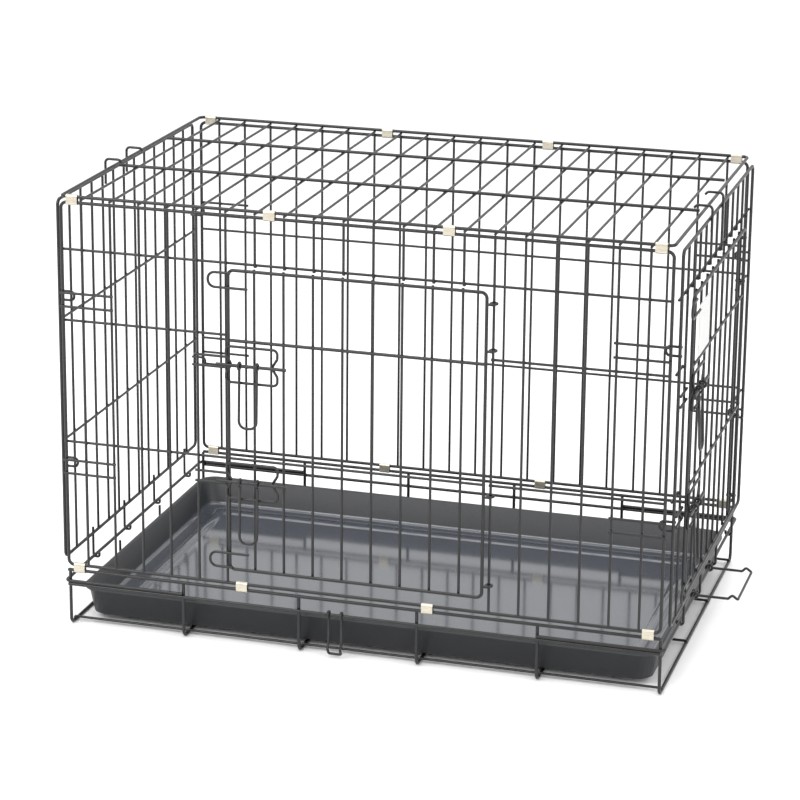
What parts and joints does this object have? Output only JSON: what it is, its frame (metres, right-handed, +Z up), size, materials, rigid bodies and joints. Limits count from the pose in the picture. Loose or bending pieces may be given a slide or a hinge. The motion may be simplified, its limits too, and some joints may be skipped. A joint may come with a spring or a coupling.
{
  "type": "folding wire dog crate",
  "caption": "Black folding wire dog crate with a front door and an end door on slide bolts, crimped hinge clips and a pull-out plastic floor tray.",
  "frame": {"origin": "bottom centre of the whole box, on the floor", "axes": "+X is the end the tray pulls out of, -Y is the face with the front door, +Z is up"},
  "size_m": [0.814, 0.5002, 0.5556],
  "materials": {
    "wire": "satin black powder coat",
    "clip": "zinc plated, satin",
    "tray": "moulded, glossy floor",
    "plate": "matt, blank"
  },
  "bodies": {
    "base": {"base_cross_wires": "wire", "base_floor_wires": "wire", "base_front_rails": "wire", "base_left_end_rail": "wire", "base_rear_rails": "wire", "base_right_end_rail": "wire", "bottom_front_clips": "clip", "bottom_rear_clips": "clip"},
    "tray": {"tray": "tray"},
    "front_panel": {"front_frame": "wire", "front_upright_wires": "wire", "front_level_wires": "wire", "front_corner_locks": "wire", "front_keepers": "wire"},
    "rear_panel": {"rear_corner_locks": "wire", "rear_frame": "wire", "rear_level_wires": "wire", "rear_upright_wires": "wire"},
    "top_panel": {"top_cross_wires": "wire", "top_frame": "wire", "top_front_clips": "clip", "top_long_wires": "wire", "top_rear_clips": "clip"},
    "left_end": {"left_end_frame": "wire", "left_end_hinge_hooks": "wire", "left_end_level_wires": "wire", "left_end_pull_loops": "wire", "left_end_top_hooks": "wire", "left_end_upright_wires": "wire"},
    "right_end": {"right_end_frame": "wire", "right_end_hinge_hooks": "wire", "right_end_keepers": "wire", "right_end_level_wires": "wire", "right_end_pull_loops": "wire", "right_end_top_hooks": "wire", "right_end_upright_wires": "wire"},
    "front_door": {"front_door_bolt_guides": "wire", "front_door_frame": "wire", "front_door_hinge_eyes": "wire", "front_door_level_wires": "wire", "front_door_tip_loops": "wire", "front_door_upright_wires": "wire"},
    "front_door_upper_bolt": {"front_door_upper_bolt": "wire"},
    "front_door_upper_handle": {"front_door_upper_handle": "wire"},
    "front_door_lower_bolt": {"front_door_lower_bolt": "wire"},
    "front_door_lower_handle": {"front_door_lower_handle": "wire"},
    "end_door": {"end_door_bolt_guides": "wire", "end_door_frame": "wire", "end_door_hinge_eyes": "wire", "end_door_level_wires": "wire", "end_door_tip_loops": "wire", "end_door_upright_wires": "wire", "label_plate": "plate"},
    "end_door_upper_bolt": {"end_door_upper_bolt": "wire"},
    "end_door_upper_handle": {"end_door_upper_handle": "wire"},
    "end_door_lower_bolt": {"end_door_lower_bolt": "wire"},
    "end_door_lower_handle": {"end_door_lower_handle": "wire"},
    "front_lock_loop": {"front_lock_loop": "wire"},
    "tray_latch": {"tray_latch": "wire"}
  },
  "joints": [
    {"name": "tray_slide", "type": "slide", "parent": "base", "child": "tray", "axis": [1, 0, 0], "range_m": [0, 0.7]},
    {"name": "front_fold", "type": "hinge", "parent": "base", "child": "front_panel", "pos_m": [-0.02346, -0.2308, 0.08052], "axis": [1, 0, 0], "range_deg": [-76, 0]},
    {"name": "rear_fold", "type": "hinge", "parent": "base", "child": "rear_panel", "pos_m": [-0.02346, 0.2452, 0.08052], "axis": [1, 0, 0], "range_deg": [-76, 0]},
    {"name": "top_fold", "type": "hinge", "parent": "rear_panel", "child": "top_panel", "pos_m": [-0.02346, 0.2452, 0.5388], "axis": [1, 0, 0], "range_deg": [0, 76]},
    {"name": "left_end_fold", "type": "hinge", "parent": "base", "child": "left_end", "pos_m": [-0.39846, 0.0072, 0.05842], "axis": [0, -1, 0], "range_deg": [-91, 0]},
    {"name": "right_end_fold", "type": "hinge", "parent": "base", "child": "right_end", "pos_m": [0.35154, 0.0072, 0.05842], "axis": [0, 1, 0], "range_deg": [-89, 0]},
    {"name": "front_door_hinge", "type": "hinge", "parent": "front_panel", "child": "front_door", "pos_m": [0.13968, -0.2311, 0.3], "axis": [0, 0, 1], "range_deg": [0, 125]},
    {"name": "end_door_hinge", "type": "hinge", "parent": "right_end", "child": "end_door", "pos_m": [0.35554, 0.16491, 0.3], "axis": [0, 0, 1], "range_deg": [0, 125]},
    {"name": "front_door_lower_bolt_slide", "type": "slide", "parent": "front_door", "child": "front_door_lower_bolt", "axis": [1, 0, 0], "range_m": [-0.007, 0.013]},
    {"name": "front_door_lower_handle_turn", "type": "hinge", "parent": "front_door_lower_bolt", "child": "front_door_lower_handle", "pos_m": [-0.1616, -0.2445, 0.21536], "axis": [-1, 0, 0], "range_deg": [0, 90]},
    {"name": "end_door_lower_bolt_slide", "type": "slide", "parent": "end_door", "child": "end_door_lower_bolt", "axis": [0, 1, 0], "range_m": [-0.007, 0.013]},
    {"name": "end_door_lower_handle_turn", "type": "hinge", "parent": "end_door_lower_bolt", "child": "end_door_lower_handle", "pos_m": [0.36924, -0.16055, 0.21536], "axis": [0, -1, 0], "range_deg": [0, 90]},
    {"name": "front_door_upper_bolt_slide", "type": "slide", "parent": "front_door", "child": "front_door_upper_bolt", "axis": [1, 0, 0], "range_m": [-0.007, 0.013]},
    {"name": "front_door_upper_handle_turn", "type": "hinge", "parent": "front_door_upper_bolt", "child": "front_door_upper_handle", "pos_m": [-0.1616, -0.2445, 0.36058], "axis": [-1, 0, 0], "range_deg": [0, 90]},
    {"name": "end_door_upper_bolt_slide", "type": "slide", "parent": "end_door", "child": "end_door_upper_bolt", "axis": [0, 1, 0], "range_m": [-0.007, 0.013]},
    {"name": "end_door_upper_handle_turn", "type": "hinge", "parent": "end_door_upper_bolt", "child": "end_door_upper_handle", "pos_m": [0.36924, -0.16055, 0.36058], "axis": [0, -1, 0], "range_deg": [0, 90]},
    {"name": "front_lock_loop_swing", "type": "hinge", "parent": "base", "child": "front_lock_loop", "pos_m": [-0.05046, -0.2308, 0.05452], "axis": [-1, 0, 0], "range_deg": [0, 60]},
    {"name": "tray_latch_swing", "type": "hinge", "parent": "base", "child": "tray_latch", "pos_m": [0.35154, 0.0072, 0.05842], "axis": [0, -1, 0], "range_deg": [-90, 0]}
  ],
  "couplings": [
    {"joint": "rear_fold", "follows": "front_fold", "ratio": 1},
    {"joint": "top_fold", "follows": "front_fold", "ratio": -1}
  ]
}
